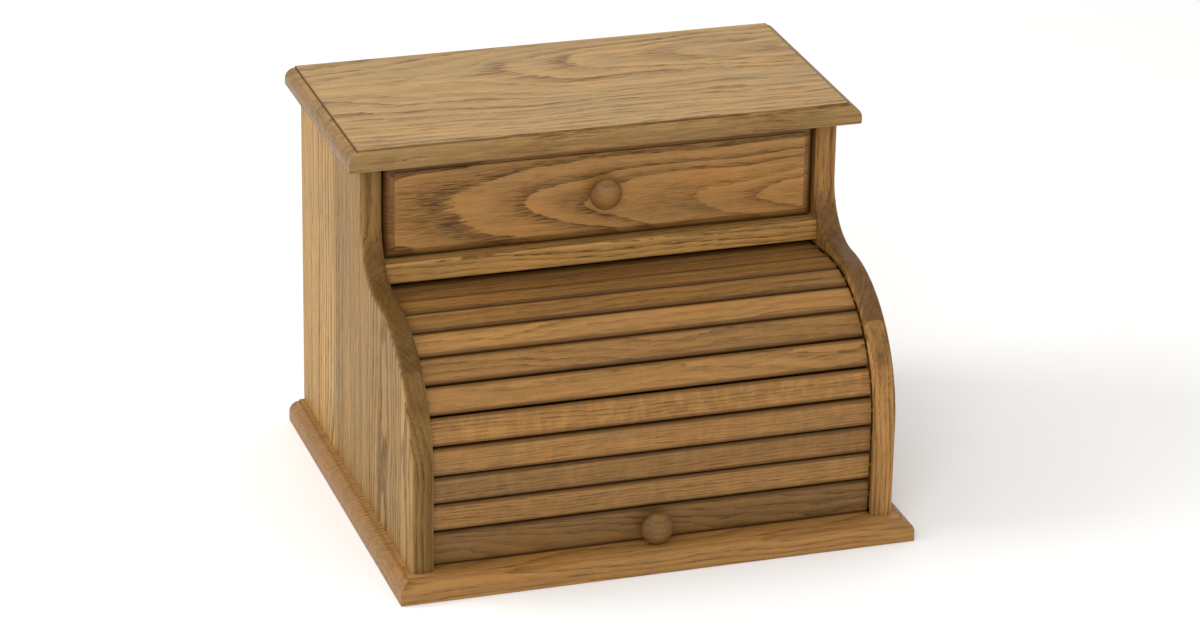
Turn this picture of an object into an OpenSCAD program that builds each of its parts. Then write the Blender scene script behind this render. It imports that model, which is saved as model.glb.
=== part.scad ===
// Roll-top bread box in oak: a drawer above, a slatted roll top below.
// Origin at the middle of the underside. +Z is up and the roll top faces -Y.

/* [Case] */
// Distance between the outer faces of the side panels
case_w = 420; // [390:1:450]
// Depth of the side panels, front edge to back edge
case_d = 363; // [355:1:380]
// Height of the side panels
panel_h = 298; // [292:1:304]
// Thickness of the side panels
panel_t = 19; // [18:1:22]
// Height of the straight part of the side panels' front edge
front_straight = 82; // [78:1:86]
// Radius of the shoulder on the side panels
shoulder_r = 115; // [113:1:118]
// Radius of the hollow above the shoulder
cove_r = 47; // [45:1:50]

/* [Base and top] */
// Thickness of the base board
base_t = 19; // [17:1:22]
// Thickness of the top board
top_t = 17; // [16:1:20]
// Overhang of base and top at each side
side_overhang = 14; // [11:1:16]
// Overhang of the base at the front
base_overhang = 17; // [14:1:20]
// Overhang of the top at the front
top_overhang = 19; // [16:1:22]
// Radius of the rounded edge on base and top
mould_r = 9; // [7:0.5:10]
// Small step where the rounded edge meets the flat
mould_step = 1.5; // [1:0.1:2]

/* [Shelf and drawer] */
// Height of the shelf's underside
shelf_z = 210.2; // [210.2:0.1:212]
// Thickness of the shelf's front rail
rail_t = 18; // [17:0.5:19]
// Thickness of the plywood shelf behind the rail
shelf_t = 12; // [10:1:13]
// Thickness of the drawer front
drawer_front_t = 19; // [18:1:21]
// Thickness of the drawer's sides and back
drawer_wall_t = 12; // [10:1:14]
// Width of the rounded border on the drawer front
drawer_mould_r = 8; // [6:0.5:9]
// Gap at each end of the drawer front
drawer_gap = 2; // [1.5:0.1:3]

/* [Roll top] */
// Number of slats
slat_count = 11; // [9:1:11]
// Distance from slat to slat
slat_pitch = 24.7; // [24.4:0.1:25]
// Gap between slats on the straight part
slat_gap = 1.5; // [1.4:0.1:2]
// Thickness of a slat
slat_t = 7; // [6:0.5:7]
// Depth of the slats' outer faces behind the panels' front edges
roll_inset = 9; // [9:0.5:10]
// Height of the lift bar's top edge
bar_top_z = 49.45; // [48:0.05:50]
// Thickness of the lift bar
bar_t = 12.5; // [10:0.5:14]
// Fall of the track's rear run, in degrees
run_fall = 5; // [4:0.5:6]
// Width of the track groove
groove_w = 12; // [12:0.1:12.6]
// Depth of the track groove
groove_depth = 7; // [6:0.5:8]

/* [Knobs] */
// Diameter of both knobs
knob_d = 28; // [26:1:30]
// Projection of both knobs
knob_h = 19; // [17:1:22]

/* [Hidden] */
$fn = 96;

case_front = base_overhang / 2 - case_d / 2;
case_back = case_front + case_d;
inner_x = case_w / 2 - panel_t;
panel_top = base_t + panel_h;
board_w = case_w + 2 * side_overhang;

shoulder_y = case_front + shoulder_r;
shoulder_z = base_t + front_straight;
shoulder_top = shoulder_z + shoulder_r;
drawer_y = shoulder_y + cove_r;

rail_y = drawer_y - 7;
rail_d = 35;
rail_lap = 8;
shelf_top = shelf_z + rail_t;
dado = 5;
back_t = 6;
back_lap = 9;
back_y = case_back - back_t;

cleat = 19;
cleat_y = drawer_y + drawer_front_t + 4;
cleat_len = back_y - cleat_y - 6;

drawer_z = shelf_top + 1;
drawer_top = panel_top - 2;
drawer_x = inner_x - drawer_gap;
drawer_side_x = drawer_x - 0.5;
drawer_back_y = back_y - 11;
drawer_rabbet = 6;
drawer_side_top = panel_top - cleat - 1.5;
bottom_t = 5;
bottom_z = drawer_z + 5;
bottom_lap = 4;
knob_z = (drawer_z + drawer_top) / 2 + 1.5;

track_r = shoulder_r - roll_inset - slat_t / 2;
slat_half_x = inner_x - 0.8;
slat_w = slat_pitch - slat_gap;
slat_round = 1.8;
tongue_r = 2;
tongue_out = 6;
canvas_t = 0.8;
canvas_w = 22.2;
canvas_half_x = 180;
bar_bottom_z = base_t + 1;
bar_h = bar_top_z - bar_bottom_z;
bar_rebate = 11.5;
bar_back_y = shoulder_y - track_r - slat_t / 2 + bar_t;
first_joint = bar_top_z + slat_gap / 2 - shoulder_z;

screw_r = 2;
screw_head_r = 4.2;
knob_screw_head_r = 3.6;
screw_head_h = 2.8;
small_r = 1.5;
small_head_r = 3;
small_head_h = 2;
screw_play = 0.06;

base_screw_y = [case_front + 60, case_front + 180, case_front + 300];
cleat_screw_y = [cleat_y + 20, cleat_y + cleat_len / 2, cleat_y + cleat_len - 20];
back_screw_z = [base_t + 25, base_t + 110, base_t + 180, panel_top - 25];

oak = "burlywood";
oak_dark = "peru";
steel = "silver";

function two_digits(i) = str(i < 10 ? "0" : "", i);
function slat_name(i) = str("slat_", two_digits(i));
function canvas_name(i) = str("canvas_", two_digits(i));

// The track is straight up the front, round the shoulder and then back under the shelf.
// s is the distance along it, 0 where the curve starts.
track_turn = 90 + run_fall;
track_curve = track_r * track_turn * PI / 180;
function track_angle(s) = s <= 0 ? 0 : min(s * 180 / (PI * track_r), track_turn);
function track_point(s) =
    let (a = track_angle(s), past = max(s - track_curve, 0))
    [shoulder_y - track_r * cos(a) + past * sin(a),
     shoulder_z + min(s, 0) + track_r * sin(a) + past * cos(a)];
function slat_s(i) = first_joint + slat_pitch * (i - 0.5);

// ---- helpers ----

// Extrudes a (y, z) section from x0 to x1
module along_x(x0, x1) {
    translate([x0, 0, 0]) rotate([90, 0, 90]) linear_extrude(x1 - x0) children();
}

// Extrudes an (x, z) section from y0 to y1
module along_y(y0, y1) {
    translate([0, y1, 0]) rotate([90, 0, 0]) linear_extrude(y1 - y0) children();
}

module block(x, y, z) {
    translate([x[0], y[0], z[0]]) cube([x[1] - x[0], y[1] - y[0], z[1] - z[0]]);
}

module both_sides() {
    children();
    mirror([1, 0, 0]) children();
}

module half_disc(r) {
    intersection() {
        circle(r);
        translate([-r, 0]) square([2 * r, r]);
    }
}

// Section of a board whose top edge is stepped and rounded at a, and at b if both is true
module moulded_section(a, b, t, both) {
    level = t - mould_step;
    low = level - mould_r;
    end = both ? b - mould_r : b;
    translate([a, 0]) square([b - a, low]);
    translate([a + mould_r, 0]) square([end - a - mould_r, t]);
    translate([a + mould_r, low]) half_disc(mould_r);
    if (both) translate([b - mould_r, low]) half_disc(mould_r);
}

// Board moulded on its front and both ends, square at the back
module moulded_board(y0, y1, t) {
    intersection() {
        along_y(y0, y1) moulded_section(-board_w / 2, board_w / 2, t, true);
        along_x(-board_w / 2, board_w / 2) moulded_section(y0, y1, t, false);
    }
}

// Countersunk screw pointing up, its head at the bottom
module screw(r, head_r, head_h, len) {
    difference() {
        union() {
            cylinder(h = head_h, r1 = head_r, r2 = r);
            cylinder(h = len, r = r);
        }
        for (turn = [0, 90]) rotate(turn) translate([-head_r * 0.6, -0.4, -1]) cube([head_r * 1.2, 0.8, 2.2]);
    }
}

// Hole for that screw, open below
module screw_hole(r, head_r, head_h, len) {
    play = screw_play;
    translate([0, 0, -1]) cylinder(h = 1, r = head_r + play);
    cylinder(h = head_h, r1 = head_r + play, r2 = r + play);
    cylinder(h = len + play, r = r + play);
}

// Pan head screw pointing along -Y from a back face
module knob_screw(len) {
    rotate([90, 0, 0]) {
        cylinder(h = len, r = screw_r);
        translate([0, 0, -2.4]) cylinder(h = 2.4, r = knob_screw_head_r);
    }
}

module knob_hole(len) {
    rotate([90, 0, 0]) translate([0, 0, -1]) cylinder(h = len + 1, r = screw_r + screw_play);
}

// Turned knob along -Y with a hollow neck and a domed face
module knob() {
    r = knob_d / 2;
    rotate([90, 0, 0]) difference() {
        rotate_extrude() {
            difference() {
                square([9, 10]);
                translate([12.5, 5]) circle(5.5);
            }
            intersection() {
                translate([0, 8]) square([r, knob_h - 8]);
                translate([0, knob_h - 26]) circle(26);
                translate([0, 29]) circle(21);
            }
        }
        translate([0, 0, -1]) cylinder(h = 14 + screw_play, r = screw_r + screw_play);
    }
}

// ---- places shared by screws and their holes ----

module at_base_screws() {
    both_sides() for (y = base_screw_y) translate([inner_x + panel_t / 2, y, 0.4]) children();
}

module at_cleat_screws() {
    both_sides() for (y = cleat_screw_y)
        translate([inner_x - cleat / 2, y, panel_top - cleat + 0.4]) children();
}

module at_back_screws() {
    both_sides() for (z = back_screw_z)
        translate([inner_x + back_lap / 2, case_back - 0.3, z]) rotate([90, 0, 0]) children();
}

// ---- case ----

module side_outline() {
    translate([case_front, base_t]) square([case_d, front_straight]);
    intersection() {
        translate([shoulder_y, shoulder_z]) circle(shoulder_r);
        translate([case_front, shoulder_z]) square(shoulder_r);
    }
    translate([shoulder_y, base_t]) square([case_back - shoulder_y, shoulder_top - base_t]);
    difference() {
        translate([shoulder_y, shoulder_top]) square(cove_r);
        translate([shoulder_y, shoulder_top + cove_r]) circle(cove_r);
    }
    translate([drawer_y, base_t]) square([case_back - drawer_y, panel_h]);
}

// Track groove in section, half a groove to each side of the track. The rear run and the
// curve overlap a little where they meet.
module track_groove() {
    r_out = track_r + groove_w / 2;
    r_in = track_r - groove_w / 2;
    far = r_out + 1;
    run_lap = 3;
    translate([shoulder_y - r_out, base_t - 1]) square([groove_w, front_straight + 1]);
    translate([shoulder_y, shoulder_z]) {
        intersection() {
            difference() {
                circle(r_out);
                circle(r_in);
            }
            translate([-far, 0]) square([2 * far, far]);
            rotate(-run_fall) translate([run_lap - 2 * far, -far]) square(2 * far);
        }
        rotate(-run_fall) translate([-run_lap, r_in]) square([case_d, groove_w]);
    }
}

module shelf_section() {
    translate([rail_y, shelf_z]) square([rail_d, rail_t]);
    translate([rail_y, shelf_top - shelf_t]) square([back_y - rail_y, shelf_t]);
}

module side_panel() {
    difference() {
        along_x(inner_x, inner_x + panel_t) side_outline();
        along_x(inner_x - 1, inner_x + groove_depth) track_groove();
        along_x(inner_x - 1, inner_x + dado) shelf_section();
        block([inner_x - 1, inner_x + back_lap], [back_y, case_back + 1], [0, panel_top + 1]);
        at_base_screws() screw_hole(screw_r, screw_head_r, screw_head_h, 45);
        at_back_screws() screw_hole(small_r, small_head_r, small_head_h, 20);
    }
}

module right_side() {
    color(oak) side_panel();
}

module left_side() {
    color(oak) mirror([1, 0, 0]) side_panel();
}

module base_board() {
    color(oak) difference() {
        moulded_board(case_front - base_overhang, case_back, base_t);
        at_base_screws() screw_hole(screw_r, screw_head_r, screw_head_h, 45);
    }
}

module top_board() {
    color(oak) difference() {
        translate([0, 0, panel_top]) moulded_board(drawer_y - top_overhang, case_back, top_t);
        at_cleat_screws() screw_hole(screw_r, screw_head_r, screw_head_h, cleat + 9);
    }
}

module back_panel() {
    x = inner_x + back_lap;
    color(oak_dark) difference() {
        block([-x, x], [back_y, case_back], [base_t, panel_top]);
        at_back_screws() screw_hole(small_r, small_head_r, small_head_h, 20);
    }
}

module shelf_rail() {
    r = 2;
    x = inner_x + dado;
    color(oak) along_x(-x, x) difference() {
        union() {
            translate([rail_y + r, shelf_z]) square([rail_d - r, rail_t]);
            translate([rail_y, shelf_z + r]) square([r, rail_t - 2 * r]);
            for (z = [shelf_z + r, shelf_top - r]) translate([rail_y + r, z]) circle(r);
        }
        translate([rail_y + rail_d - rail_lap, shelf_top - shelf_t]) square([rail_lap + 1, shelf_t + 1]);
    }
}

module drawer_shelf() {
    x = inner_x + dado;
    color(oak_dark) block([-x, x], [rail_y + rail_d - rail_lap, back_y], [shelf_top - shelf_t, shelf_top]);
}

module top_cleat() {
    difference() {
        block([inner_x - cleat, inner_x], [cleat_y, cleat_y + cleat_len], [panel_top - cleat, panel_top]);
        at_cleat_screws() screw_hole(screw_r, screw_head_r, screw_head_h, cleat + 9);
    }
}

module right_cleat() {
    color(oak_dark) top_cleat();
}

module left_cleat() {
    color(oak_dark) mirror([1, 0, 0]) top_cleat();
}

module drawer_stops() {
    color(oak_dark) both_sides()
        block([110, 135], [drawer_back_y + 0.3, back_y], [shelf_top, shelf_top + 12]);
}

module base_screws() {
    color(steel) at_base_screws() screw(screw_r, screw_head_r, screw_head_h, 45);
}

module cleat_screws() {
    color(steel) at_cleat_screws() screw(screw_r, screw_head_r, screw_head_h, cleat + 9);
}

module back_screws() {
    color(steel) at_back_screws() screw(small_r, small_head_r, small_head_h, 20);
}

// ---- drawer ----

// Section of the drawer front along u, with v the depth behind its face
module drawer_face_section(a, b) {
    r = drawer_mould_r;
    deep = mould_step + r;
    translate([a, deep]) square([b - a, drawer_front_t - deep]);
    translate([a + r, 0]) square([b - a - 2 * r, drawer_front_t]);
    for (u = [a + r, b - r]) translate([u, deep]) circle(r);
}

module drawer_front() {
    back = drawer_y + drawer_front_t;
    color(oak) difference() {
        intersection() {
            translate([0, drawer_y, drawer_z]) linear_extrude(drawer_top - drawer_z)
                drawer_face_section(-drawer_x, drawer_x);
            along_x(-drawer_x, drawer_x) translate([drawer_y, 0]) mirror([1, -1])
                drawer_face_section(drawer_z, drawer_top);
        }
        both_sides() block([drawer_side_x - drawer_wall_t, drawer_x + 1], [back - drawer_rabbet, back + 1],
                           [drawer_z - 1, drawer_side_top]);
        block([-drawer_side_x + 1, drawer_side_x - 1], [back - bottom_lap, back + 1],
              [bottom_z, bottom_z + bottom_t]);
        translate([0, back, knob_z]) knob_hole(drawer_front_t + 1);
    }
}

module drawer_side() {
    x = drawer_side_x;
    y0 = drawer_y + drawer_front_t;
    difference() {
        block([x - drawer_wall_t, x], [y0 - drawer_rabbet, drawer_back_y], [drawer_z, drawer_side_top]);
        block([x - drawer_wall_t - 1, x - drawer_wall_t + bottom_lap], [y0 - bottom_lap, drawer_back_y + 1],
              [bottom_z, bottom_z + bottom_t]);
    }
}

module drawer_right_side() {
    color(oak) drawer_side();
}

module drawer_left_side() {
    color(oak) mirror([1, 0, 0]) drawer_side();
}

module drawer_back() {
    x = drawer_side_x - drawer_wall_t;
    color(oak) block([-x, x], [drawer_back_y - drawer_wall_t, drawer_back_y],
                     [bottom_z + bottom_t, drawer_side_top - 6]);
}

module drawer_bottom() {
    x = drawer_side_x - drawer_wall_t + bottom_lap;
    color(oak_dark) block([-x, x], [drawer_y + drawer_front_t - bottom_lap, drawer_back_y],
                          [bottom_z, bottom_z + bottom_t]);
}

module drawer_knob() {
    color(oak) translate([0, drawer_y, knob_z]) knob();
}

module drawer_knob_screw() {
    color(steel) translate([0, drawer_y + drawer_front_t, knob_z]) knob_screw(drawer_front_t + 13);
}

// ---- roll top ----

// Slat section with its outer face towards -Y, centred on the track
module slat_section(w, round) {
    translate([-slat_t / 2 + round, -w / 2]) square([slat_t - round, w]);
    translate([-slat_t / 2, -w / 2 + round]) square([round, w - 2 * round]);
    for (v = [-1, 1]) translate([-slat_t / 2 + round, v * (w / 2 - round)]) circle(round);
}

module on_track(s) {
    translate(track_point(s)) rotate(-track_angle(s)) children();
}

module slat(i) {
    color(i % 2 == 0 ? oak : "tan") {
        along_x(-slat_half_x, slat_half_x) on_track(slat_s(i)) slat_section(slat_w, slat_round);
        both_sides() along_x(slat_half_x - 1, inner_x + tongue_out) on_track(slat_s(i)) circle(tongue_r);
    }
}

module canvas_strip(i) {
    color("ivory") along_x(-canvas_half_x, canvas_half_x) on_track(slat_s(i))
        translate([slat_t / 2, -canvas_w / 2]) square([canvas_t, canvas_w]);
}

module lift_bar() {
    y = shoulder_y - track_r;
    mid = bar_bottom_z + bar_h / 2;
    color(oak) difference() {
        union() {
            along_x(-slat_half_x, slat_half_x) {
                translate([y, mid]) slat_section(bar_h, slat_round);
                translate([y, bar_bottom_z]) square([bar_t - slat_t / 2, bar_h - bar_rebate]);
            }
            both_sides() along_x(slat_half_x - 1, inner_x + tongue_out) translate([y, mid]) circle(tongue_r);
        }
        translate([0, bar_back_y, mid]) knob_hole(bar_t + 1);
    }
}

module lift_bar_knob() {
    color(oak) translate([0, bar_back_y - bar_t, bar_bottom_z + bar_h / 2]) knob();
}

module lift_bar_knob_screw() {
    color(steel) translate([0, bar_back_y, bar_bottom_z + bar_h / 2]) knob_screw(bar_t + 13);
}

module canvas_00() {
    y = shoulder_y - track_r + slat_t / 2;
    color("ivory") block([-canvas_half_x, canvas_half_x], [y, y + canvas_t],
                         [bar_top_z - bar_rebate + 0.5, bar_top_z - 0.5]);
}

base_board();
left_side();
right_side();
top_board();
back_panel();
shelf_rail();
drawer_shelf();
left_cleat();
right_cleat();
drawer_stops();
base_screws();
cleat_screws();
back_screws();
drawer_front();
drawer_left_side();
drawer_right_side();
drawer_back();
drawer_bottom();
drawer_knob();
drawer_knob_screw();
lift_bar();
lift_bar_knob();
lift_bar_knob_screw();
canvas_00();
for (i = [1 : slat_count]) slat(i);
for (i = [1 : slat_count]) canvas_strip(i);
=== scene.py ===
import math

import bpy
from mathutils import Matrix, Vector


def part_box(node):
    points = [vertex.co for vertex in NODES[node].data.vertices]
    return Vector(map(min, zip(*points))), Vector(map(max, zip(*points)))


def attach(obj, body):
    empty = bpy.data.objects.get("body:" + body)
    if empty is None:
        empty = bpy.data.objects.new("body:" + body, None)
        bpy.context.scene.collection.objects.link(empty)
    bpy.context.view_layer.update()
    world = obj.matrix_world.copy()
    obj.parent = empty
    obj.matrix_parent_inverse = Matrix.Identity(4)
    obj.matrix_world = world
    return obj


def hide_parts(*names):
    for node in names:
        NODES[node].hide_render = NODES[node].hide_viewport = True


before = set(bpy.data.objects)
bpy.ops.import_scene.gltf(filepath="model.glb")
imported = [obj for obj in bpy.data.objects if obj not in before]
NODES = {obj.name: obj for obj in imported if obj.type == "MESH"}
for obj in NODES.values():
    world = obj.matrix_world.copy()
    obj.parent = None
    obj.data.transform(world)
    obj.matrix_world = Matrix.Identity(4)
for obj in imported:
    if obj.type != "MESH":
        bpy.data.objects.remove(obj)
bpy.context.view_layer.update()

MM = 0.001
SLAT_COUNT = sum(name.startswith("slat_") for name in NODES)


# ---- camera, floor and studio light ----

CAMERA_PLACE = (-1.0401, -3.2048, 1.6005)
CAMERA_YAW, CAMERA_PITCH, CAMERA_ROLL = -0.31482, 1.16539, 0.01775
CAMERA_LENS = 128.92
CAMERA_SENSOR = 36
FLOOR_SIZE = 30.0
FLOOR_ALBEDO = 0.96
SKY_COLOUR = (1.0, 0.995, 0.985, 1)
SKY_STRENGTH = 0.85
OBJECT_MIDDLE = (0, 0, 0.17)
# name, place, width and height, power and colour of each soft light
SOFTBOXES = [("key_front", (-1.3, -2.7, 2.2), (1.6, 1.6), 34, (1.0, 0.98, 0.95)),
             ("side_left", (-2.7, 0.7, 2.0), (1.8, 1.8), 52, (1.0, 0.99, 0.96))]


def add_camera():
    data = bpy.data.cameras.new("camera")
    data.lens = CAMERA_LENS
    data.sensor_width = CAMERA_SENSOR
    camera = bpy.data.objects.new("camera", data)
    turn = (Matrix.Rotation(CAMERA_YAW, 4, "Z") @ Matrix.Rotation(CAMERA_PITCH, 4, "X")
            @ Matrix.Rotation(CAMERA_ROLL, 4, "Z"))
    camera.matrix_world = Matrix.Translation(CAMERA_PLACE) @ turn
    bpy.context.scene.collection.objects.link(camera)
    bpy.context.scene.camera = camera


def add_softbox(name, place, size, power, colour):
    data = bpy.data.lights.new(name, "AREA")
    data.shape = "RECTANGLE"
    data.size, data.size_y = size
    data.energy = power
    data.color = colour
    lamp = bpy.data.objects.new(name, data)
    aim = (Vector(OBJECT_MIDDLE) - Vector(place)).to_track_quat("-Z", "Y")
    lamp.matrix_world = Matrix.Translation(place) @ aim.to_matrix().to_4x4()
    bpy.context.scene.collection.objects.link(lamp)


def add_sky():
    world = bpy.data.worlds.new("studio")
    world.use_nodes = True
    sky = world.node_tree.nodes["Background"]
    sky.inputs["Color"].default_value = SKY_COLOUR
    sky.inputs["Strength"].default_value = SKY_STRENGTH
    bpy.context.scene.world = world


def add_floor():
    mesh = bpy.data.meshes.new("floor")
    half = FLOOR_SIZE / 2
    corners = [(-half, -half, 0), (half, -half, 0), (half, half, 0), (-half, half, 0)]
    mesh.from_pydata(corners, [], [(0, 1, 2, 3)])
    floor = bpy.data.objects.new("floor", mesh)
    bpy.context.scene.collection.objects.link(floor)
    paper = bpy.data.materials.new("floor_paper")
    paper.use_nodes = True
    shader = paper.node_tree.nodes["Principled BSDF"]
    shader.inputs["Base Color"].default_value = (FLOOR_ALBEDO, FLOOR_ALBEDO, FLOOR_ALBEDO, 1)
    shader.inputs["Roughness"].default_value = 0.9
    mesh.materials.append(paper)


add_camera()
add_sky()
add_floor()
for softbox in SOFTBOXES:
    add_softbox(*softbox)
bpy.context.scene.view_settings.view_transform = "Standard"


# ---- shader expressions ----

class Value:
    """A socket, with arithmetic that adds Math nodes."""

    def __init__(self, tree, socket):
        self.tree = tree
        self.socket = socket

    def math(self, operation, *others, clamp=False):
        inputs = dict(enumerate((self, *others)))
        return self.tree.add("ShaderNodeMath", {"operation": operation, "use_clamp": clamp}, inputs)

    def reflected(self, operation, other):
        return self.tree.add("ShaderNodeMath", {"operation": operation}, {0: other, 1: self})

    def __add__(self, other):
        return self.math("ADD", other)

    def __sub__(self, other):
        return self.math("SUBTRACT", other)

    def __rsub__(self, other):
        return self.reflected("SUBTRACT", other)

    def __mul__(self, other):
        return self.math("MULTIPLY", other)

    def __truediv__(self, other):
        return self.math("DIVIDE", other)

    def __pow__(self, other):
        return self.math("POWER", other)

    def __abs__(self):
        return self.math("ABSOLUTE")

    __radd__ = __add__
    __rmul__ = __mul__

    def fraction(self):
        return self.math("FRACT")

    def above(self, limit):
        return self.math("GREATER_THAN", limit)

    def least(self, other):
        return self.math("MINIMUM", other)

    def root(self):
        return self.math("SQRT")

    def ramp(self, low, high):
        """0 at low, 1 at high, straight between and level outside."""
        return self.math("MULTIPLY_ADD", 1 / (high - low), -low / (high - low), clamp=True)


class Tree:
    """A material's nodes, with its Principled shader ready."""

    def __init__(self, name):
        self.material = bpy.data.materials.new(name)
        self.material.use_nodes = True
        self.nodes = self.material.node_tree.nodes
        self.links = self.material.node_tree.links
        self.shader = self.nodes["Principled BSDF"]

    def add(self, kind, settings=None, inputs=None, output=0):
        node = self.nodes.new(kind)
        for key, value in (settings or {}).items():
            setattr(node, key, value)
        for key, value in (inputs or {}).items():
            self.feed(node.inputs[key], value)
        return Value(self, node.outputs[output])

    def feed(self, socket, value):
        if isinstance(value, Value):
            self.links.new(value.socket, socket)
        else:
            socket.default_value = value

    def place(self):
        return self.add("ShaderNodeTexCoord", output="Object")

    def facing(self):
        return self.add("ShaderNodeTexCoord", output="Normal")

    def dot(self, vector, direction):
        return self.add("ShaderNodeVectorMath", {"operation": "DOT_PRODUCT"},
                        {0: vector, 1: direction}, output="Value")

    def join(self, x, y, z):
        return self.add("ShaderNodeCombineXYZ", None, {0: x, 1: y, 2: z})

    def scaled(self, vector, factor):
        return self.add("ShaderNodeVectorMath", {"operation": "SCALE"}, {0: vector, "Scale": factor})

    def noise(self, vector, detail=2.0, roughness=0.5, distortion=0.0):
        return self.add("ShaderNodeTexNoise", None,
                        {"Vector": vector, "Scale": 1.0, "Detail": detail,
                         "Roughness": roughness, "Distortion": distortion})

    def mix(self, factor, a, b, blend="MIX"):
        return self.add("ShaderNodeMix", {"data_type": "RGBA", "blend_type": blend},
                        {"Factor": factor, 6: a, 7: b}, output=2)

    def grey(self, value):
        return self.add("ShaderNodeCombineColor", None, {0: value, 1: value, 2: value})

    def set(self, **constants):
        for key, value in constants.items():
            socket = key.replace("_", " ").title().replace("Ior", "IOR")
            self.shader.inputs[socket].default_value = value

    def finish(self, colour, roughness, height, depth, strength=0.5):
        self.feed(self.shader.inputs["Base Color"], colour)
        self.feed(self.shader.inputs["Roughness"], roughness)
        bump = self.add("ShaderNodeBump", None,
                        {"Height": height, "Distance": depth, "Strength": strength})
        self.feed(self.shader.inputs["Normal"], bump)
        return self.material


# ---- wood, cloth and steel ----

X, Y, Z = Vector((1, 0, 0)), Vector((0, 1, 0)), Vector((0, 0, 1))
OAK_LIGHT = (0.375, 0.198, 0.060)
OAK_PALE = (0.385, 0.226, 0.076)
OAK_STRAW = (0.375, 0.238, 0.091)
OAK_DARK = (0.128, 0.056, 0.0090)
OAK_PORE = (0.055, 0.023, 0.0035)
# colour of darkened edges: staining, and painted shade on mouldings, slat edges and the side panels' hollows
OAK_STAIN_AND_SHADE = (0.085, 0.034, 0.005)
RUSSET_SHARES = (1.0, 0.90, 0.78)
PLY_LIGHT, PLY_DARK = (0.56, 0.385, 0.20, 1), (0.40, 0.245, 0.11, 1)
PLY_FLECK = (0.27, 0.155, 0.065, 1)
PLY_EDGE_LIGHT, PLY_EDGE_DARK = (0.52, 0.36, 0.19, 1), (0.24, 0.13, 0.055, 1)
PLY_THICKNESS = 1.2
COTTON_LIGHT, COTTON_DARK = (0.58, 0.52, 0.40, 1), (0.36, 0.31, 0.22, 1)
COTTON_GLUED = (0.34, 0.25, 0.13, 1)
THREAD_PITCH = 0.85
STEEL_LIGHT, STEEL_DARK = (0.66, 0.64, 0.60, 1), (0.50, 0.47, 0.40, 1)
STEEL_SPECKS, STEEL_CLOUDS = 900.0, 160.0

# Textures of wood: how fast each changes along the grain and across it, for each millimetre,
# where it starts, its detail and its roughness.
TEXTURES = {
    "sway": (0.006, 0.011, 0.0, 2.0, 0.5),
    "swell": (0.008, 0.017, 31.0, 1.0, 0.5),
    "jag": (0.04, 0.40, 0.0, 3.0, 0.60),
    "pores": (0.05, 1.25, 0.0, 3.0, 0.7),
    "dashes": (0.10, 1.9, 7.0, 1.0, 0.5),
    "fibre": (0.012, 0.42, 0.0, 5.0, 0.74),
    "cloud": (0.009, 0.022, 5.0, 2.0, 0.5),
    "streak": (0.003, 0.10, 17.0, 3.0, 0.6),
    "mottle": (0.045, 0.33, 3.0, 3.0, 0.62),
    "ply_fibre": (0.03, 1.6, 0.0, 4.0, 0.65),
    "ply_flecks": (0.09, 0.9, 2.0, 2.0, 0.5),
}
SEED_STEP, STAVE_STEP = 137.0, 53.0


def rgba(colour, tone=1.0):
    return (*(channel * tone for channel in colour), 1)


class Board:
    """A board's own millimetres: u along the grain, v across it and w through its thickness.

    far is u moved to a stretch of the textures that no other board uses. joints are glue lines
    across the board, between its staves.
    """

    def __init__(self, tree, along, across, deep, centre, joints, shifts):
        self.tree = tree
        self.joints = joints
        place = tree.add("ShaderNodeVectorMath", {"operation": "SUBTRACT"},
                         {0: tree.place(), 1: centre}, output="Vector")
        self.u = tree.dot(place, along / MM)
        self.v = tree.dot(place, across / MM)
        self.w = tree.dot(place, deep / MM)
        self.far = self.u + self.by_stave(shifts)

    def by_stave(self, values):
        """A value for each stave, changing at the glue lines."""
        result = self.v * 0.0 + values[0]
        for line, before, after in zip(self.joints, values, values[1:]):
            result = result + self.v.above(line) * (after - before)
        return result

    def texture(self, name):
        """A texture from the list above, drawn out along the grain."""
        rate, cross, start, detail, roughness = TEXTURES[name]
        spot = self.tree.join(self.far * rate, self.v * cross, self.w * cross + start)
        return self.tree.noise(spot, detail=detail, roughness=roughness)


def early_wood(board, pith, piths, lean, ring, wander, jagged, seed):
    """Bands of open early wood, where the board cuts the growth rings round a wandering pith."""
    tree = board.tree
    aside = board.v + board.u * lean[0] + (board.texture("sway") - 0.5) * (wander * 2.2)
    aside = aside - board.by_stave([pith[0] + moved for moved in piths])
    below = board.w + board.u * lean[1] + pith[1] + (board.texture("swell") - 0.5) * (wander * 1.6)
    radius = (aside * aside + below * below).root()
    years = radius / ring + tree.noise(tree.join(radius * 0.05, 3.7, seed), detail=1.0) * 3.0
    phase = (years + (board.texture("jag") - 0.5) * jagged).fraction()
    early = (1.0 - phase) ** 2.2 * phase.ramp(0.0, 0.05)
    strength = tree.noise(tree.join(years * 0.4, 9.1, seed), detail=0.0).ramp(0.32, 0.6)
    return early * (strength * 0.6 + 0.4)


def ray_flakes(board):
    """The short flakes across the grain that quarter-sawn oak shows."""
    tree = board.tree
    spot = tree.join(board.far * 0.13, board.v * 0.05 + (board.texture("sway") - 0.5) * 3.0,
                     board.w * 0.05)
    return tree.noise(spot, detail=3.0, distortion=0.5).ramp(0.47, 0.62)


def worn_patches(board):
    """1 where the figure is whole and 0 where it fades out."""
    tree = board.tree
    spot = tree.join(board.far * 0.017, board.v * 0.038, 40.0)
    return tree.noise(spot, detail=2.0, roughness=0.6).ramp(0.42, 0.58)


def oak_shade(board, fibre, cloud, mottle, streaky, tones, fleck):
    """How light the wood is from place to place and from stave to stave, about 1."""
    streak = board.texture("streak")
    shade = 1.0 + (fibre - 0.5) * 0.65 + (mottle - 0.5) * 0.6 + (streak - 0.5) * streaky
    shade = shade + (cloud - 0.5) * 0.35
    if board.joints:
        shade = shade * board.by_stave(tones)
    if fleck:
        shade = shade + (ray_flakes(board) - 0.6) * 0.20 * fleck
    return shade


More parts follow.
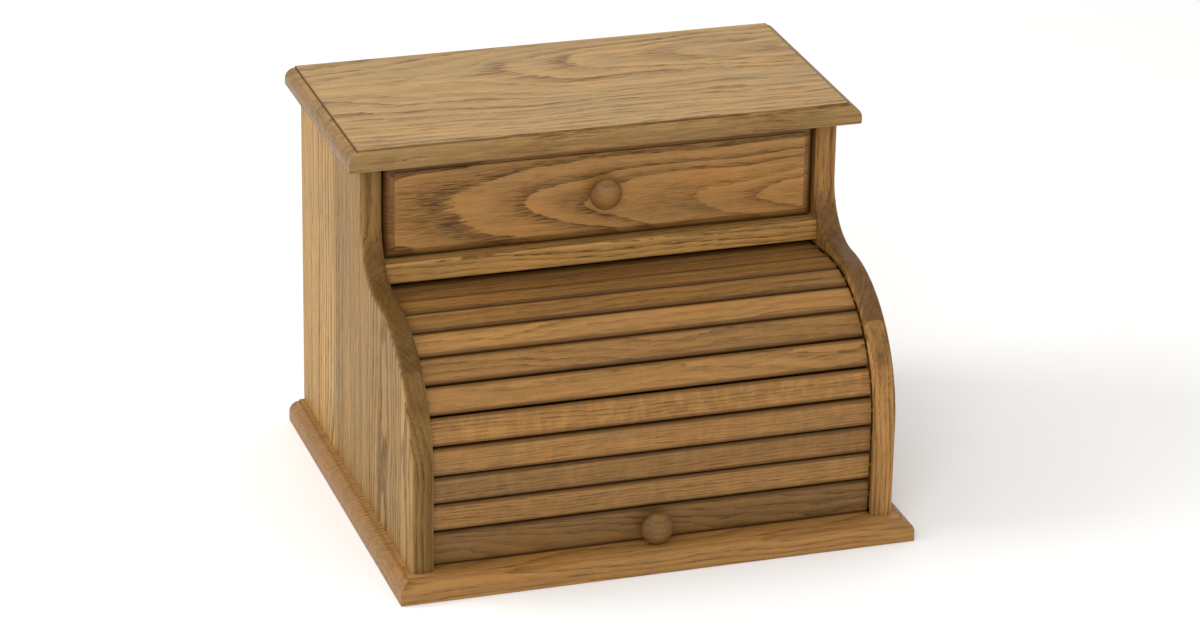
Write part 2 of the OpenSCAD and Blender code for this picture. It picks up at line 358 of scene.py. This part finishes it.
def oak(name, along, across, deep, centre, pith=(0, 60), lean=(0.0, 0.0), ring=4.2, wander=6.0,
        tone=1.0, contrast=0.6, fleck=0.0, seed=0.0, joints=(), tones=(1.0,), piths=(0.0,),
        light=OAK_LIGHT, stain_and_shade=None, coat=0.10, shine=0.18, jagged=0.5, streaky=0.7, patchy=0.0):
    """Solid oak as a block, cut out of a log.

    along, across and deep are the grain's length, the board's width and its thickness. pith is
    where the log's middle lies in millimetres from the board's own, and lean how fast it drifts
    along the grain, which makes the arched figure. ring is the rings' spacing and wander how far
    the pith strays. joints are glue lines across the board, with the tones of the staves and how
    far each one's pith is moved. stain_and_shade darkens edges, with staining and painted shade,
    jagged breaks up the arches, patchy wears them away in places, and streaky sets off the long
    light and dark streaks.
    """
    tree = Tree(name)
    shifts = [seed * SEED_STEP + STAVE_STEP * stave for stave in range(len(piths))]
    board = Board(tree, along, across, deep, centre, joints, shifts)
    band = early_wood(board, pith, piths, lean, ring, wander, jagged, seed)
    pores = board.texture("pores").ramp(0.46, 0.66)
    dashes = board.texture("dashes").ramp(0.60, 0.72)
    fibre, cloud, mottle = (board.texture(kind) for kind in ("fibre", "cloud", "mottle"))
    pore = (pores * (band * 1.3 + 0.12)).least(1.0)
    end = abs(tree.dot(tree.facing(), along)).ramp(0.15, 0.60)
    grain = (band * (pores * 0.7 + 0.5) * contrast * 1.5).least(0.95) * (1.0 - end * 0.75)
    if patchy:
        grain = grain * (1.0 - patchy + worn_patches(board) * patchy)
    # the clear wood with its warmer clouds, then the bands, pores and dashes over it
    warmth = (cloud * 0.6 + mottle * 0.4).ramp(0.38, 0.62)
    russet = [channel * share for channel, share in zip(light, RUSSET_SHARES)]
    colour = tree.mix(warmth, rgba(light, tone), rgba(russet, tone))
    colour = tree.mix(grain, colour, rgba(OAK_DARK, tone))
    colour = tree.mix((pore * contrast).least(0.8), colour, rgba(OAK_PORE, tone))
    colour = tree.mix(dashes * 0.35 * contrast, colour, rgba(OAK_DARK, tone * 0.7))
    shade = oak_shade(board, fibre, cloud, mottle, streaky, tones, fleck)
    colour = tree.mix(1.0, colour, tree.grey(shade * (1.0 - end * 0.25)), blend="MULTIPLY")
    # edges darkened by the mask: partly staining, partly painted shade
    if stain_and_shade:
        colour = tree.mix(stain_and_shade(tree), colour, rgba(OAK_STAIN_AND_SHADE, tone))
    rough = 0.42 + pore * 0.25 + (fibre - 0.5) * 0.16
    height = fibre * 0.35 - pore * 1.0 - dashes * 0.3 - band * 0.2
    tree.set(coat_weight=coat, coat_roughness=0.25, specular_ior_level=shine)
    return tree.finish(colour, rough, height, 0.22 * MM)


def veneer(name, along, across, deep, centre, seed):
    """Birch plywood: a rotary-cut face, and plies where an edge shows."""
    tree = Tree(name)
    board = Board(tree, along, across, deep, centre, (), [seed * 91.0])
    wave = tree.noise(tree.join(board.far * 0.005, board.v * 0.013, seed), detail=3.0, distortion=1.2)
    figure = (wave * 14.0).fraction()
    soft = (figure * (1.0 - figure) * 4.0) ** 0.6
    fibre = board.texture("ply_fibre")
    edge = 1.0 - abs(tree.dot(tree.facing(), deep)).ramp(0.4, 0.7)
    plies = (board.w / (2 * PLY_THICKNESS)).fraction().above(0.5)
    face = tree.mix(soft * 0.45, PLY_DARK, PLY_LIGHT)
    side = tree.mix(plies, PLY_EDGE_DARK, PLY_EDGE_LIGHT)
    colour = tree.mix(edge, face, side)
    flecks = board.texture("ply_flecks").ramp(0.60, 0.72)
    colour = tree.mix(flecks * 0.4, colour, PLY_FLECK)
    colour = tree.mix(1.0, colour, tree.grey(1.0 + (fibre - 0.5) * 0.9), blend="MULTIPLY")
    tree.set(coat_weight=0.1, coat_roughness=0.4)
    return tree.finish(colour, 0.5 + (fibre - 0.5) * 0.2, fibre, 0.12 * MM)


def canvas_cloth(name):
    """Cotton duck in a plain weave, with the odd thick thread and glue soaked through in places."""
    tree = Tree(name)
    place = tree.place()
    u = tree.dot(place, X / MM)
    v = tree.dot(place, Y / MM) + tree.dot(place, Z / MM)
    warp = (u * (math.pi / THREAD_PITCH)).math("SINE")
    weft = (v * (math.pi / THREAD_PITCH)).math("SINE")
    weave = warp * weft * 0.5 + 0.5
    slub = tree.noise(tree.join(u * 0.05, v * 1.4, 0.0), detail=2.0)
    glue = tree.noise(tree.join(u * 0.02, v * 0.05, 4.0), detail=3.0).ramp(0.48, 0.7)
    colour = tree.mix(weave, COTTON_DARK, COTTON_LIGHT)
    colour = tree.mix(glue * 0.5, colour, COTTON_GLUED)
    colour = tree.mix(1.0, colour, tree.grey(0.8 + slub * 0.4), blend="MULTIPLY")
    tree.set(sheen_weight=0.25, sheen_roughness=0.5)
    return tree.finish(colour, 0.9 - glue * 0.25, weave + slub * 0.4, 0.3 * MM, strength=0.7)


def screw_steel(name):
    """Zinc-plated steel, slightly clouded."""
    tree = Tree(name)
    place = tree.place()
    speck = tree.noise(tree.scaled(place, STEEL_SPECKS), detail=3.0)
    cloud = tree.noise(tree.scaled(place, STEEL_CLOUDS), detail=2.0)
    colour = tree.mix(cloud, STEEL_DARK, STEEL_LIGHT)
    tree.set(metallic=1.0)
    return tree.finish(colour, 0.28 + speck * 0.2, speck, 0.05 * MM)


# ---- mesh helpers ----

def new_piece(name, points, faces, material, smooth=30, bevel=0.0):
    mesh = bpy.data.meshes.new(name)
    mesh.from_pydata([tuple(p) for p in points], [], faces)
    mesh.validate()
    mesh.shade_smooth()
    mesh.set_sharp_from_angle(angle=math.radians(smooth))
    mesh.materials.append(material)
    piece = bpy.data.objects.new(name, mesh)
    bpy.context.scene.collection.objects.link(piece)
    if bevel:
        soften(piece, bevel)
    return piece


def soften(piece, width, segments=2, angle=35):
    bevel = piece.modifiers.new("soft_edges", "BEVEL")
    bevel.width = width
    bevel.segments = segments
    bevel.limit_method = "ANGLE"
    bevel.angle_limit = math.radians(angle)
    bevel.harden_normals = False


def arc(centre, radius, start, stop, steps):
    """Points on an arc in a plane, from start to stop degrees."""
    angles = [math.radians(start + (stop - start) * i / steps) for i in range(steps + 1)]
    return [(centre[0] + radius * math.cos(a), centre[1] + radius * math.sin(a)) for a in angles]


def loft(rings, first=True):
    """Points and faces of a skin over rings of equally many points, closed at the last one and,
    where first is true, at the first one too."""
    count = len(rings[0])
    points = [p for ring in rings for p in ring]
    faces = []
    for r in range(len(rings) - 1):
        for i in range(count):
            j = (i + 1) % count
            faces.append((r * count + i, r * count + j, (r + 1) * count + j, (r + 1) * count + i))
    if first:
        faces.append(tuple(reversed(range(count))))
    faces.append(tuple(range(len(points) - count, len(points))))
    return points, faces


def carry(piece, body, node):
    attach(piece, body)
    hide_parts(node)


def middle_of(node):
    low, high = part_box(node)
    return (low + high) / 2


def dress(node, material):
    """Gives a CAD node its finish."""
    mesh = NODES[node].data
    mesh.materials.clear()
    mesh.materials.append(material)


# ---- driving sizes, from the frame ----

base_low, base_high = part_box("base_board")
top_low, top_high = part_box("top_board")
side_low, side_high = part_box("right_side")
front_low, front_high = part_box("drawer_front")
back_low, back_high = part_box("back_panel")

MOULD_R = 9 * MM
MOULD_STEP = 1.5 * MM
TOP_UNDER_R = 2 * MM
ARRIS = 0.5 * MM
DRAWER_R = 8 * MM
SHOULDER_R = 115 * MM
COVE_R = 47 * MM
FRONT_STRAIGHT = 82 * MM
EDGE_R = 4.2 * MM
RUN_FALL = 5
SLAT_T, SLAT_W = 7 * MM, 23.2 * MM
CLOTH_T, CLOTH_W = 0.8 * MM, 22.2 * MM
GROOVE_W = 12 * MM
GROOVE_DEPTH = 7 * MM

shoulder = (side_low.y + SHOULDER_R, side_low.z + FRONT_STRAIGHT)
track_r = shoulder[0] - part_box("slat_01")[0].y - SLAT_T / 2


# ---- case boards ----

def moulding_stain_and_shade(low, high, inset, sides, line=0.5, edge=0.3):
    """Blotchy staining on a moulding, and painted shade that deepens towards its outer edge and
    lies along its step.

    sides are the axes that the moulding runs round, with whether it is at both ends of that axis
    and how much of the step's painted shade shows there. line and edge are how dark the step's
    painted shade and the moulding get.
    """
    step = inset / MM

    def mask(tree):
        place = tree.place()
        at = [tree.dot(place, axis / MM) for axis in (X, Y, Z)]
        uneven = tree.noise(tree.join(at[0] * 0.02, at[1] * 0.03, at[2] * 0.8), detail=3.0,
                            roughness=0.65)
        nearest, step_shade = None, None
        # painted shade: a dark line along the step on each side
        for axis, both, share in sides:
            gap = at[axis] - low[axis] / MM
            if both:
                gap = gap.least(high[axis] / MM - at[axis])
            here = (1.0 - abs(gap - step).ramp(0.2, 1.3)) * share
            nearest = gap if nearest is None else nearest.least(gap)
            step_shade = here if step_shade is None else step_shade.math("MAXIMUM", here)
        # painted shade: the moulding darkens towards its outer edge, blotched by the noise as staining
        moulding = 1.0 - nearest.ramp(step - 1.0, step + 1.4)
        outwards = 1.0 - nearest.ramp(0.0, step) * 0.6
        clear_of_corner = nearest.ramp(step - 2.5, step - 1.2)
        soaked = moulding * outwards * edge * (uneven * 2.2 - 0.1)
        return soaked.math("MAXIMUM", step_shade * clear_of_corner * line)
    return mask


def moulded_board(name, low, high, under_r, material):
    """A board with a stepped round-over on its front and ends, square at the back."""
    level = high.z - MOULD_STEP
    profile = [(0.0, low.z)]
    if under_r:
        profile = [(under_r - x, low.z + under_r - z) for x, z in arc((0, 0), under_r, 90, 0, 4)]
    profile += [(MOULD_R - x, level - MOULD_R + z) for x, z in arc((0, 0), MOULD_R, 0, 90, 12)]
    profile += [(MOULD_R, high.z)]
    rings = []
    for inset, z in profile:
        rings.append([(low.x + inset, low.y + inset, z), (high.x - inset, low.y + inset, z),
                      (high.x - inset, high.y, z), (low.x + inset, high.y, z)])
    points, faces = loft(rings)
    board = new_piece(name + "_visual", points, faces, material, smooth=32, bevel=ARRIS)
    carry(board, "case", name)


base_grain = oak("oak_base", X, Y, Z, (base_low + base_high) / 2, pith=(-150, 70), lean=(0.01, 0.02),
                 ring=4.4, tone=1.0, contrast=0.75, seed=1.0,
                 stain_and_shade=moulding_stain_and_shade(base_low, base_high, MOULD_R, [(0, True, 1.0), (1, False, 0.35)],
                                      edge=0.12))
top_grain = oak("oak_top", X, Y, Z, (top_low + top_high) / 2, pith=(48, 38), lean=(-0.02, -0.115),
                ring=9.5, wander=13.0, tone=1.12, contrast=0.82, seed=2.0, light=OAK_STRAW,
                jagged=0.75, patchy=0.75,
                stain_and_shade=moulding_stain_and_shade(top_low, top_high, MOULD_R, [(0, True, 1.0), (1, False, 0.5)],
                                     line=0.9, edge=0.50))
moulded_board("base_board", base_low, base_high, 0.0, base_grain)
moulded_board("top_board", top_low, top_high, TOP_UNDER_R, top_grain)


def panel_front(inset):
    """The side panel's front edge from bottom to top as (y, z), set in by inset."""
    y, z = shoulder
    line = [(y - SHOULDER_R + inset, side_low.z)]
    line += arc(shoulder, SHOULDER_R - inset, 180, 90, 40)
    line += arc((y, z + SHOULDER_R + COVE_R), COVE_R + inset, -90, 0, 22)[1:]
    line.append((y + COVE_R + inset, side_high.z))
    return line


def groove_edge(offset):
    """The track groove's edge from the bottom up, round and back, offset outwards."""
    y, z = shoulder
    r = track_r + offset
    line = [(y - r, side_low.z)]
    line += arc(shoulder, r, 180, 90 - RUN_FALL, 40)
    fall = math.radians(RUN_FALL)
    last = line[-1]
    run = (back_low.y - last[0]) / math.cos(fall)
    line.append((back_low.y, last[1] - run * math.sin(fall)))
    return line


def groove_faces(lip, floor, count, corner):
    """A panel's inner face in two parts, with the track groove between them.

    lip and floor are where the points of the groove's two edges start, at the inner face and at
    the groove's floor, with count points in each edge. corner is the panel's top back corner.
    """
    faces = [tuple(range(corner + 1)) + tuple(lip + i for i in reversed(range(count))),
             tuple(lip + count + i for i in range(count)) + (corner + 1,)]
    for i in range(count - 1):
        faces.append((lip + i, lip + i + 1, floor + i + 1, floor + i))
        faces.append((floor + i, floor + i + 1, floor + count + i + 1, floor + count + i))
        faces.append((floor + count + i, floor + count + i + 1,
                      lip + count + i + 1, lip + count + i))
    return faces


def panel_rings():
    """Outlines of a side panel from its inner face to its outer one, with rounded front edges and a
    rebate for the back."""
    turns = [math.radians(90 * i / 6) for i in range(7)]
    levels = [(EDGE_R * (1 - math.sin(a)), side_low.x + EDGE_R * (1 - math.cos(a)), back_low.y)
              for a in turns]
    levels += [(0.0, back_high.x, back_low.y), (0.0, back_high.x, side_high.y)]
    levels += [(EDGE_R * (1 - math.cos(a)), side_high.x - EDGE_R * (1 - math.sin(a)), side_high.y)
               for a in turns]
    rings = []
    for inset, x, back in levels:
        ring = [(x, y, z) for y, z in panel_front(inset)]
        rings.append(ring + [(x, back, side_high.z), (x, back, side_low.z)])
    return rings


def side_panel(name, sign, material):
    rings = panel_rings()
    points, faces = loft(rings, first=False)
    edges = [groove_edge(GROOVE_W / 2), groove_edge(-GROOVE_W / 2)]
    lip, count = len(points), len(edges[0])
    for x in (side_low.x, side_low.x + GROOVE_DEPTH):
        for edge in edges:
            points += [(x, y, z) for y, z in edge]
    faces += groove_faces(lip, lip + 2 * count, count, len(rings[0]) - 2)
    points = [(sign * x, y, z) for x, y, z in points]
    if sign > 0:
        faces = [tuple(reversed(face)) for face in faces]
    panel = new_piece(name + "_visual", points, faces, material, smooth=35)
    carry(panel, "case", name)


FRONT_STAVE = 35.0
PANEL_HALF = (side_high.y - side_low.y) / 2 / MM
STAVE_JOINTS = (FRONT_STAVE - PANEL_HALF, -40.0, 72.0)


def front_edge_stain_and_shade(straight, hollow, round_top, front_stave):
    """Stain that has soaked into a side panel's sawn front edge, deepest where it cuts the grain,
    and painted shade where the edge faces down in the hollow.

    The four depths are for the straight parts, the hollow's painted shade, the shoulder and the
    front stave.
    """
    def mask(tree):
        facing = tree.facing()
        edge = 1.0 - abs(tree.dot(facing, X)).ramp(0.55, 0.95)
        rise = tree.dot(facing, Z)
        # where the edge faces down in the hollow, the darkening is painted shade
        depth = straight + (rise * -1.0).ramp(0.05, 0.6) * hollow + rise.ramp(0.1, 0.6) * round_top
        behind = tree.dot(tree.place(), Y / MM).above(side_low.y / MM + FRONT_STAVE)
        return edge * (front_stave + behind * (depth - front_stave))
    return mask


left_grain = oak("oak_left_side", Z, Y, -X, middle_of("left_side"), pith=(-150, 45),
                 lean=(0.02, 0.015),
                 ring=4.6, wander=5.0, tone=0.88, contrast=0.85, seed=3.0, light=OAK_STRAW,
                 joints=STAVE_JOINTS,
                 tones=(1.0, 0.86, 0.92, 1.22), piths=(0.0, 60.0, 20.0, 210.0),
                 coat=0.0, shine=0.06, streaky=1.3,
                 stain_and_shade=front_edge_stain_and_shade(0.38, 0.20, 0.24, 0.50))
right_grain = oak("oak_right_side", Z, Y, X, middle_of("right_side"), pith=(-120, 50),
                  lean=(-0.01, 0.02),
                  ring=4.2, wander=5.0, tone=0.90, contrast=0.95, seed=4.0, joints=STAVE_JOINTS,
                  tones=(1.12, 0.84, 1.0, 0.94), piths=(-40.0, 30.0, 170.0, 60.0),
                  coat=0.06, streaky=1.8, stain_and_shade=front_edge_stain_and_shade(0.10, 0.50, 0.42, 0.10))
side_panel("left_side", -1, left_grain)
side_panel("right_side", 1, right_grain)

dress("shelf_rail", oak("oak_rail", X, Z, -Y, middle_of("shelf_rail"), pith=(-70, 60), lean=(0.02, 0.01),
                        ring=4.0, tone=1.13, contrast=0.85, jagged=0.9, light=OAK_PALE, seed=5.0))


# ---- drawer front and knobs ----

def drawer_face(material):
    """The drawer front, with a stepped round-over on all four edges."""
    deep = MOULD_STEP + DRAWER_R
    profile = [(0.0, front_high.y)]
    profile += [(DRAWER_R - x, front_low.y + deep - z) for x, z in arc((0, 0), DRAWER_R, 0, 90, 12)]
    profile += [(DRAWER_R, front_low.y)]
    rings = []
    for inset, y in profile:
        left, right = front_low.x + inset, front_high.x - inset
        bottom, top = front_low.z + inset, front_high.z - inset
        rings.append([(left, y, bottom), (left, y, top), (right, y, top), (right, y, bottom)])
    points, faces = loft(rings)
    face = new_piece("drawer_front_visual", points, faces, material, smooth=32, bevel=ARRIS)
    carry(face, "drawer", "drawer_front")


KNOB_RIM_R, KNOB_DOME_R = 3.6 * MM, 18 * MM
KNOB_FOOT_R, KNOB_NECK_R = 9.0 * MM, 4.9 * MM
KNOB_NECK_MIDDLE = (12.6 * MM, 4.5 * MM)
KNOB_SIDES = 72

front_grain = oak("oak_drawer_front", X, Z, -Y, (front_low + front_high) / 2, pith=(-11, 26),
                  lean=(0.052, -0.115), ring=9.5, wander=8.0, tone=1.0, contrast=1.15, jagged=0.34, seed=6.0,
                  stain_and_shade=moulding_stain_and_shade(front_low, front_high, DRAWER_R, [(0, True, 0.5), (2, True, 0.5)],
                                       line=0.6, edge=0.95))
drawer_face(front_grain)


def knob_outline(rim, length):
    """A turned knob's outline as (radius, distance out): foot, hollow neck, rolled rim and dome."""
    reach = math.sqrt((KNOB_DOME_R - KNOB_RIM_R) ** 2 - (rim - KNOB_RIM_R) ** 2)
    meet = math.degrees(math.atan2(reach, rim - KNOB_RIM_R))
    dome_middle = length - KNOB_DOME_R
    outline = [(KNOB_FOOT_R - 0.2 * MM, 0.0), (KNOB_FOOT_R, 0.7 * MM)]
    outline += arc(KNOB_NECK_MIDDLE, KNOB_NECK_R, 219, 141, 10)
    outline += arc((rim - KNOB_RIM_R, dome_middle + reach), KNOB_RIM_R, -70, meet, 14)
    outline += arc((0, dome_middle), KNOB_DOME_R, meet, 88, 12)[1:]
    return outline


def knob(name, body, material):
    low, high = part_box(name)
    centre = (low + high) / 2
    turns = [2 * math.pi * i / KNOB_SIDES for i in range(KNOB_SIDES)]
    rings = []
    for r, out in knob_outline((high.x - low.x) / 2, high.y - low.y):
        rings.append([(centre.x + r * math.cos(a), high.y - out, centre.z + r * math.sin(a))
                      for a in turns])
    points, faces = loft(rings)
    piece = new_piece(name + "_visual", points, faces, material, smooth=50)
    carry(piece, body, name)


for name, body, tone, seed in (("drawer_knob", "drawer", 0.66, 7.0),
                               ("lift_bar_knob", "lift_bar", 0.50, 8.0)):
    grain = oak("oak_" + name, X, Z, -Y, middle_of(name), pith=(-26, 12), lean=(0.02, 0.05),
                ring=4.5, wander=2.0, tone=tone, contrast=0.35, seed=seed)
    knob(name, body, grain)


# ---- roll top ----

CLOTH_COLUMNS, CLOTH_ROWS = 90, 6
FRAY, RIPPLE = 0.25 * MM, 0.10 * MM
# how light each slat is and how much ray fleck it shows, the lift bar first
SLAT_TONES = [0.58, 0.86, 0.68, 0.86, 0.94, 0.92, 0.78, 1.02, 0.80, 0.80, 0.84, 1.00]
SLAT_FLECKS = [0.2, 0.5, 0.7, 0.6, 1.0, 0.2, 0.3, 0.2, 0.2, 0.1, 0.2, 0.2]
ROLL_TOP_TONE = 0.92
QUARTER_SAWN = 0.45


def track_axes(centre, body):
    """Across and out of a strip of the roll top, where its middle lies on the track."""
    turned = 0.0
    if body != "lift_bar" and centre.z > shoulder[1]:
        turned = math.atan2(centre.z - shoulder[1], shoulder[0] - centre.y)
        turned = min(turned, math.radians(90 + RUN_FALL))
    return (Vector((0, math.sin(turned), math.cos(turned))),
            Vector((0, -math.cos(turned), math.sin(turned))))


def slat_edge_shade(across, centre, width):
    """Painted shade on a slat's rounded edges, for the dark grooves between the slats."""
    half = width / 2 / MM

    def mask(tree):
        off = abs(tree.dot(tree.place(), across / MM) - centre.dot(across) / MM)
        # painted shade near both long edges of the slat
        return off.ramp(half - 3.2, half - 1.6) * 0.58 + off.ramp(half - 5.0, half) * 0.15
    return mask


def slat_finish(node, index):
    low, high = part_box(node)
    centre = (low + high) / 2
    across, outward = track_axes(centre, node)
    width = SLAT_W if index else high.z - low.z
    fleck = SLAT_FLECKS[index]
    pith = (-20 + 9 * index, 55 + 6 * index)
    if fleck > QUARTER_SAWN:
        pith = (95 + 13 * index, 8 + 3 * index)
    lean = (0.012 * math.sin(index * 2.1), 0.03 * math.cos(index * 1.7))
    return oak("oak_" + node, X, across, outward, centre, pith=pith, lean=lean,
               ring=2.6 + 0.4 * (index % 3), wander=5.0, tone=SLAT_TONES[index] * ROLL_TOP_TONE,
               contrast=0.58, jagged=1.0, fleck=fleck, seed=10.0 + index,
               stain_and_shade=slat_edge_shade(across, centre, width))


dress("lift_bar", slat_finish("lift_bar", 0))
for index in range(1, SLAT_COUNT + 1):
    node = "slat_%02d" % index
    dress(node, slat_finish(node, index))


def cloth_layer(low, high, width, body, side):
    """One face of a strip of canvas, as points in columns from end to end."""
    centre = (low + high) / 2
    across, outward = track_axes(centre, body)
    layer = []
    for i in range(CLOTH_COLUMNS + 1):
        x = low.x + (high.x - low.x) * i / CLOTH_COLUMNS
        for j in range(CLOTH_ROWS + 1):
            fray = FRAY * math.sin(i * 2.4 + j) * (j in (0, CLOTH_ROWS))
            ripple = RIPPLE * math.sin(i * 0.9 + j * 1.3)
            at = centre + across * (width * (j / CLOTH_ROWS - 0.5) * 0.975 + fray)
            at = at + outward * (CLOTH_T * side * 0.6 + ripple)
            layer.append((x, at.y, at.z))
    return layer


def cloth_faces(size):
    """Faces of a strip's two layers of size points each, and of the edge round them."""
    stride = CLOTH_ROWS + 1
    faces = []
    for i in range(CLOTH_COLUMNS):
        for j in range(CLOTH_ROWS):
            a = i * stride + j
            faces.append((a, a + 1, a + stride + 1, a + stride))
            faces.append((size + a, size + a + stride, size + a + stride + 1, size + a + 1))
    rim = [i * stride for i in range(CLOTH_COLUMNS + 1)]
    rim += [CLOTH_COLUMNS * stride + j for j in range(1, stride)]
    rim += [i * stride + CLOTH_ROWS for i in reversed(range(CLOTH_COLUMNS))]
    rim += [j for j in reversed(range(1, CLOTH_ROWS))]
    for a, b in zip(rim, rim[1:] + rim[:1]):
        faces.append((a, b, size + b, size + a))
    return faces


def canvas_strip(node, body, material):
    """A strip of canvas glued behind a slat or the lift bar, with slightly ragged long edges."""
    low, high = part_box(node)
    width = high.z - low.z if body == "lift_bar" else CLOTH_W
    layers = [cloth_layer(low, high, width, body, side) for side in (0.5, -0.5)]
    strip = new_piece(node + "_cloth", layers[0] + layers[1], cloth_faces(len(layers[0])), material,
                      smooth=60)
    carry(strip, body, node)


cloth = canvas_cloth("canvas_duck")
canvas_strip("canvas_00", "lift_bar", cloth)
for index in range(1, SLAT_COUNT + 1):
    canvas_strip("canvas_%02d" % index, "slat_%02d" % index, cloth)


# ---- inner boards, plywood and screws ----

# each board with its directions along the grain, across it and out
INNER_BOARDS = [("drawer_left_side", Y, Z, -X), ("drawer_right_side", Y, Z, X), ("drawer_back", X, Z, Y),
                ("left_cleat", Y, X, Z), ("right_cleat", Y, X, Z), ("drawer_stops", X, Y, Z)]
for index, (node, along, across, deep) in enumerate(INNER_BOARDS):
    dress(node, oak("oak_" + node, along, across, deep, middle_of(node), pith=(20 - 14 * index, 70),
                    lean=(0.02, 0.03), ring=4.0, tone=1.12, contrast=0.38, seed=30.0 + index, coat=0.1))

dress("back_panel", veneer("ply_back", Z, X, Y, middle_of("back_panel"), 1.0))
dress("drawer_shelf", veneer("ply_shelf", X, Y, Z, middle_of("drawer_shelf"), 2.0))
dress("drawer_bottom", veneer("ply_drawer_bottom", X, Y, Z, middle_of("drawer_bottom"), 3.0))

steel = screw_steel("screw_steel")
for node in NODES:
    if "screw" in node:
        dress(node, steel)
